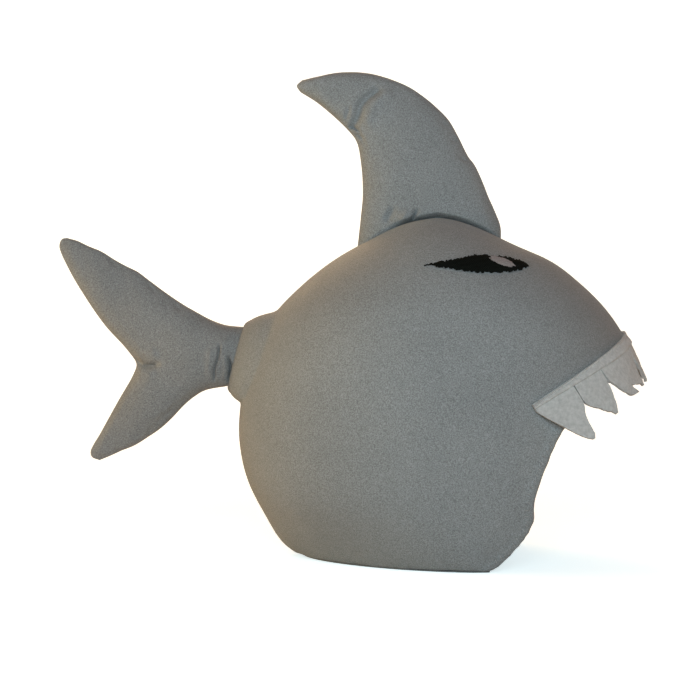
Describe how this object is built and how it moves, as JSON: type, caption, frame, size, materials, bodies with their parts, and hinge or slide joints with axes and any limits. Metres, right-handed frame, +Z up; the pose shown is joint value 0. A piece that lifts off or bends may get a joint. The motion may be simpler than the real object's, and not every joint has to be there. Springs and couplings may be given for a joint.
{
  "type": "shark helmet cover on a ski helmet",
  "caption": "Soft shark-head cover stretched over a ski helmet, with a stuffed dorsal fin, a stuffed forked tail, stitched eyes and felt teeth round the face opening.",
  "frame": {"origin": "middle of the object's box on the surface that the hem lies on", "axes": "+X towards the shark's nose, +Y to the shark's left, +Z up"},
  "size_m": [0.4231, 0.2214, 0.3471],
  "materials": {
    "cover": "matte",
    "felt": "matte",
    "eye": "matte",
    "glint": "matte",
    "filling": "matte",
    "shell": "satin",
    "foam": "matte",
    "pad": "matte",
    "elastic": "matte"
  },
  "bodies": {
    "root": {"cover_left": "cover", "cover_right": "cover", "hem_band": "cover", "hem_elastic": "elastic", "face_hem": "cover", "teeth_band": "felt", "eye_left": "eye", "eye_right": "eye", "eye_glint_left": "glint", "eye_glint_right": "glint", "helmet_shell": "shell", "foam_liner": "foam", "brow_pad": "pad", "crown_pad": "pad", "nape_pad": "pad", "ear_pad_left": "pad", "ear_pad_right": "pad"},
    "tail": {"tail_skin_left": "cover", "tail_skin_right": "cover", "tail_filling": "filling"},
    "fin": {"fin_skin_left": "cover", "fin_skin_right": "cover", "fin_filling": "filling"},
    "tooth_1_felt": {"tooth_1": "felt"},
    "tooth_2_felt": {"tooth_2": "felt"},
    "tooth_3_felt": {"tooth_3": "felt"},
    "tooth_4_felt": {"tooth_4": "felt"},
    "tooth_5_felt": {"tooth_5": "felt"},
    "tooth_6_felt": {"tooth_6": "felt"},
    "tooth_7_felt": {"tooth_7": "felt"},
    "tooth_8_felt": {"tooth_8": "felt"},
    "tooth_9_felt": {"tooth_9": "felt"},
    "tooth_10_felt": {"tooth_10": "felt"},
    "tooth_11_felt": {"tooth_11": "felt"}
  },
  "joints": [
    {"name": "fin_sway", "type": "hinge", "parent": "root", "child": "fin", "pos_m": [0.05, 0, 0.257], "axis": [1, 0, 0], "range_deg": [-25, 25], "stiffness_Nm_per_rad": 0.25},
    {"name": "tail_wag", "type": "hinge", "parent": "root", "child": "tail", "pos_m": [-0.1008, 0, 0.14671], "axis": [0.2591, 0, 0.9659], "range_deg": [-35, 35], "stiffness_Nm_per_rad": 0.15},
    {"name": "tooth_1_flap", "type": "hinge", "parent": "root", "child": "tooth_1_felt", "pos_m": [0.13162, -0.1002, 0.11167], "axis": [-0.7975, -0.3123, -0.5163], "range_deg": [-4, 60], "stiffness_Nm_per_rad": 0.004},
    {"name": "tooth_2_flap", "type": "hinge", "parent": "root", "child": "tooth_2_felt", "pos_m": [0.15421, -0.08837, 0.12627], "axis": [-0.7234, -0.5073, -0.4683], "range_deg": [-5, 60], "stiffness_Nm_per_rad": 0.004},
    {"name": "tooth_3_flap", "type": "hinge", "parent": "root", "child": "tooth_3_felt", "pos_m": [0.17178, -0.07205, 0.13763], "axis": [-0.5892, -0.7123, -0.3815], "range_deg": [-8, 60], "stiffness_Nm_per_rad": 0.004},
    {"name": "tooth_4_flap", "type": "hinge", "parent": "root", "child": "tooth_4_felt", "pos_m": [0.185, -0.05071, 0.14617], "axis": [-0.3973, -0.8809, -0.2572], "range_deg": [-12, 60], "stiffness_Nm_per_rad": 0.004},
    {"name": "tooth_5_flap", "type": "hinge", "parent": "root", "child": "tooth_5_felt", "pos_m": [0.19276, -0.02585, 0.15118], "axis": [-0.1818, -0.9763, -0.1177], "range_deg": [-15, 60], "stiffness_Nm_per_rad": 0.004},
    {"name": "tooth_6_flap", "type": "hinge", "parent": "root", "child": "tooth_6_felt", "pos_m": [0.19519, 0, 0.15275], "axis": [0, -1, 0], "range_deg": [-15, 60], "stiffness_Nm_per_rad": 0.004},
    {"name": "tooth_7_flap", "type": "hinge", "parent": "root", "child": "tooth_7_felt", "pos_m": [0.19276, 0.02585, 0.15118], "axis": [0.1818, -0.9763, 0.1177], "range_deg": [-15, 60], "stiffness_Nm_per_rad": 0.004},
    {"name": "tooth_8_flap", "type": "hinge", "parent": "root", "child": "tooth_8_felt", "pos_m": [0.185, 0.05071, 0.14617], "axis": [0.3973, -0.8809, 0.2572], "range_deg": [-12, 60], "stiffness_Nm_per_rad": 0.004},
    {"name": "tooth_9_flap", "type": "hinge", "parent": "root", "child": "tooth_9_felt", "pos_m": [0.17178, 0.07205, 0.13763], "axis": [0.5892, -0.7123, 0.3815], "range_deg": [-8, 60], "stiffness_Nm_per_rad": 0.004},
    {"name": "tooth_10_flap", "type": "hinge", "parent": "root", "child": "tooth_10_felt", "pos_m": [0.15421, 0.08837, 0.12627], "axis": [0.7234, -0.5073, 0.4683], "range_deg": [-5, 60], "stiffness_Nm_per_rad": 0.004},
    {"name": "tooth_11_flap", "type": "hinge", "parent": "root", "child": "tooth_11_felt", "pos_m": [0.13162, 0.1002, 0.11167], "axis": [0.7975, -0.3123, 0.5163], "range_deg": [-4, 60], "stiffness_Nm_per_rad": 0.004}
  ]
}
